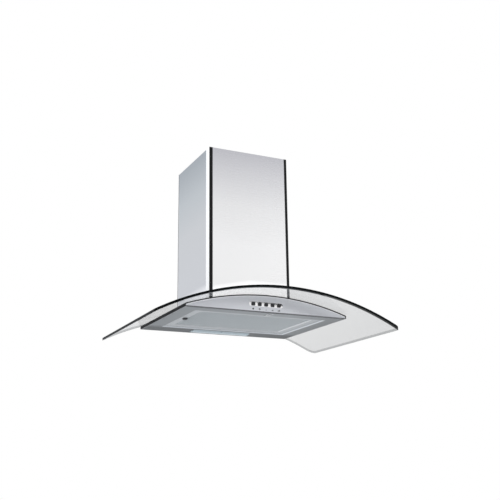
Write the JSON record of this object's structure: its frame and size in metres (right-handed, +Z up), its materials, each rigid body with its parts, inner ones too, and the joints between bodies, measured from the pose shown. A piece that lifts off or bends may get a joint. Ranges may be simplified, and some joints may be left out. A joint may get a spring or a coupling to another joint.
{
  "type": "island range hood",
  "caption": "Ceiling-hung range hood: curved glass canopy over a shallow steel body, square chimney with black corner trims, push buttons, grease filter, rear lamp strip and blower.",
  "frame": {"origin": "middle of the footprint of the glass, at the level of the lowest edge of the glass", "axes": "+Z up; -Y towards the fascia and its buttons; +X along the width, to the right as seen from the fascia"},
  "size_m": [0.9, 0.62, 0.6905],
  "materials": {
    "glass": "clear, polished edge",
    "seal": "matte",
    "brushed_steel": "brushed, fine grain along the width",
    "under_steel": "satin, seen from below",
    "bright_steel": "polished",
    "black_trim": "gloss black",
    "black_plastic": "fine texture",
    "mark": "printed",
    "aluminium": "satin",
    "filter_mesh": "expanded mesh",
    "reflector": "bright",
    "lamp_cover": "frosted, translucent",
    "bulb": "opal",
    "ceramic_white": "ceramic-filled",
    "galvanised": "galvanised sheet",
    "fastener": "zinc plated",
    "copper": "varnished winding",
    "rotor_steel": "laminated"
  },
  "bodies": {
    "ceiling_frame": {"ceiling_plate": "galvanised", "upper_posts": "galvanised", "upper_sleeve": "brushed_steel", "sleeve_screws": "fastener"},
    "hood": {"glass_canopy": "glass", "glass_seal": "seal", "glass_pads": "seal", "glass_fasteners": "fastener", "body_shell": "brushed_steel", "fascia": "brushed_steel", "bottom_frame": "under_steel", "control_bezel": "bright_steel", "function_marks": "mark", "switch_block": "black_plastic", "lamp_reflector": "reflector", "lamp_holders": "ceramic_white", "lamp_bulbs": "bulb", "throat_collar": "galvanised", "blower_deck": "galvanised", "blower_box": "galvanised", "blower_lid": "galvanised", "volute_left": "black_plastic", "volute_right": "black_plastic", "outlet_transition": "black_plastic", "motor_housing": "aluminium", "motor_stator": "copper", "motor_bracket": "galvanised", "motor_bushes": "seal", "outlet_collar": "black_plastic", "collar_screws": "fastener", "flap_pin": "fastener", "capacitor": "ceramic_white", "terminal_box": "ceramic_white", "cable_gland": "black_plastic", "wiring_loom": "black_plastic", "lower_posts": "galvanised", "post_bolts": "fastener", "chimney_front": "brushed_steel", "chimney_rear": "brushed_steel", "chimney_side_left": "brushed_steel", "chimney_side_right": "brushed_steel", "chimney_trims": "black_trim", "chimney_strips": "bright_steel"},
    "button_light": {"button_light": "black_plastic"},
    "button_off": {"button_off": "black_plastic"},
    "button_low": {"button_low": "black_plastic"},
    "button_medium": {"button_medium": "black_plastic"},
    "button_high": {"button_high": "black_plastic"},
    "filter_panel": {"filter_frame": "aluminium", "filter_mesh": "filter_mesh", "filter_pins": "fastener", "filter_pull": "bright_steel"},
    "filter_latch": {"filter_latch": "black_plastic"},
    "lamp_cover_left": {"lamp_cover_left": "lamp_cover"},
    "lamp_cover_right": {"lamp_cover_right": "lamp_cover"},
    "fan": {"fan_wheel": "black_plastic", "motor_shaft": "fastener", "motor_rotor": "rotor_steel"},
    "flap_front": {"flap_front": "aluminium"},
    "flap_rear": {"flap_rear": "aluminium"}
  },
  "joints": [
    {"name": "height_slide", "type": "slide", "parent": "ceiling_frame", "child": "hood", "axis": [0, 0, -1], "range_m": [0, 0.35]},
    {"name": "press_light", "type": "slide", "parent": "hood", "child": "button_light", "axis": [0, 1, 0], "range_m": [0, 0.003], "stiffness_N_per_m": 600, "springref_m": -0.002},
    {"name": "press_off", "type": "slide", "parent": "hood", "child": "button_off", "axis": [0, 1, 0], "range_m": [0, 0.003], "stiffness_N_per_m": 600, "springref_m": -0.002},
    {"name": "press_low", "type": "slide", "parent": "hood", "child": "button_low", "axis": [0, 1, 0], "range_m": [0, 0.003], "stiffness_N_per_m": 600, "springref_m": -0.002},
    {"name": "press_medium", "type": "slide", "parent": "hood", "child": "button_medium", "axis": [0, 1, 0], "range_m": [0, 0.003], "stiffness_N_per_m": 600, "springref_m": -0.002},
    {"name": "press_high", "type": "slide", "parent": "hood", "child": "button_high", "axis": [0, 1, 0], "range_m": [0, 0.003], "stiffness_N_per_m": 600, "springref_m": -0.002},
    {"name": "filter_swing", "type": "hinge", "parent": "hood", "child": "filter_panel", "pos_m": [0.238, 0.03, 0.058], "axis": [0, -1, 0], "range_deg": [0, 90]},
    {"name": "latch_slide", "type": "slide", "parent": "filter_panel", "child": "filter_latch", "axis": [1, 0, 0], "range_m": [0, 0.007], "stiffness_N_per_m": 300, "springref_m": -0.004},
    {"name": "lamp_left_swing", "type": "hinge", "parent": "hood", "child": "lamp_cover_left", "pos_m": [-0.0595, 0.265, 0.0555], "axis": [1, 0, 0], "range_deg": [0, 75]},
    {"name": "lamp_right_swing", "type": "hinge", "parent": "hood", "child": "lamp_cover_right", "pos_m": [0.0595, 0.265, 0.0555], "axis": [1, 0, 0], "range_deg": [0, 75]},
    {"name": "fan_spin", "type": "hinge", "parent": "hood", "child": "fan", "pos_m": [0, 0.086, 0.225], "axis": [1, 0, 0], "continuous": true},
    {"name": "flap_front_swing", "type": "hinge", "parent": "hood", "child": "flap_front", "pos_m": [0, 0.12, 0.409], "axis": [-1, 0, 0], "range_deg": [0, 75]},
    {"name": "flap_rear_swing", "type": "hinge", "parent": "hood", "child": "flap_rear", "pos_m": [0, 0.12, 0.409], "axis": [1, 0, 0], "range_deg": [0, 75]}
  ]
}
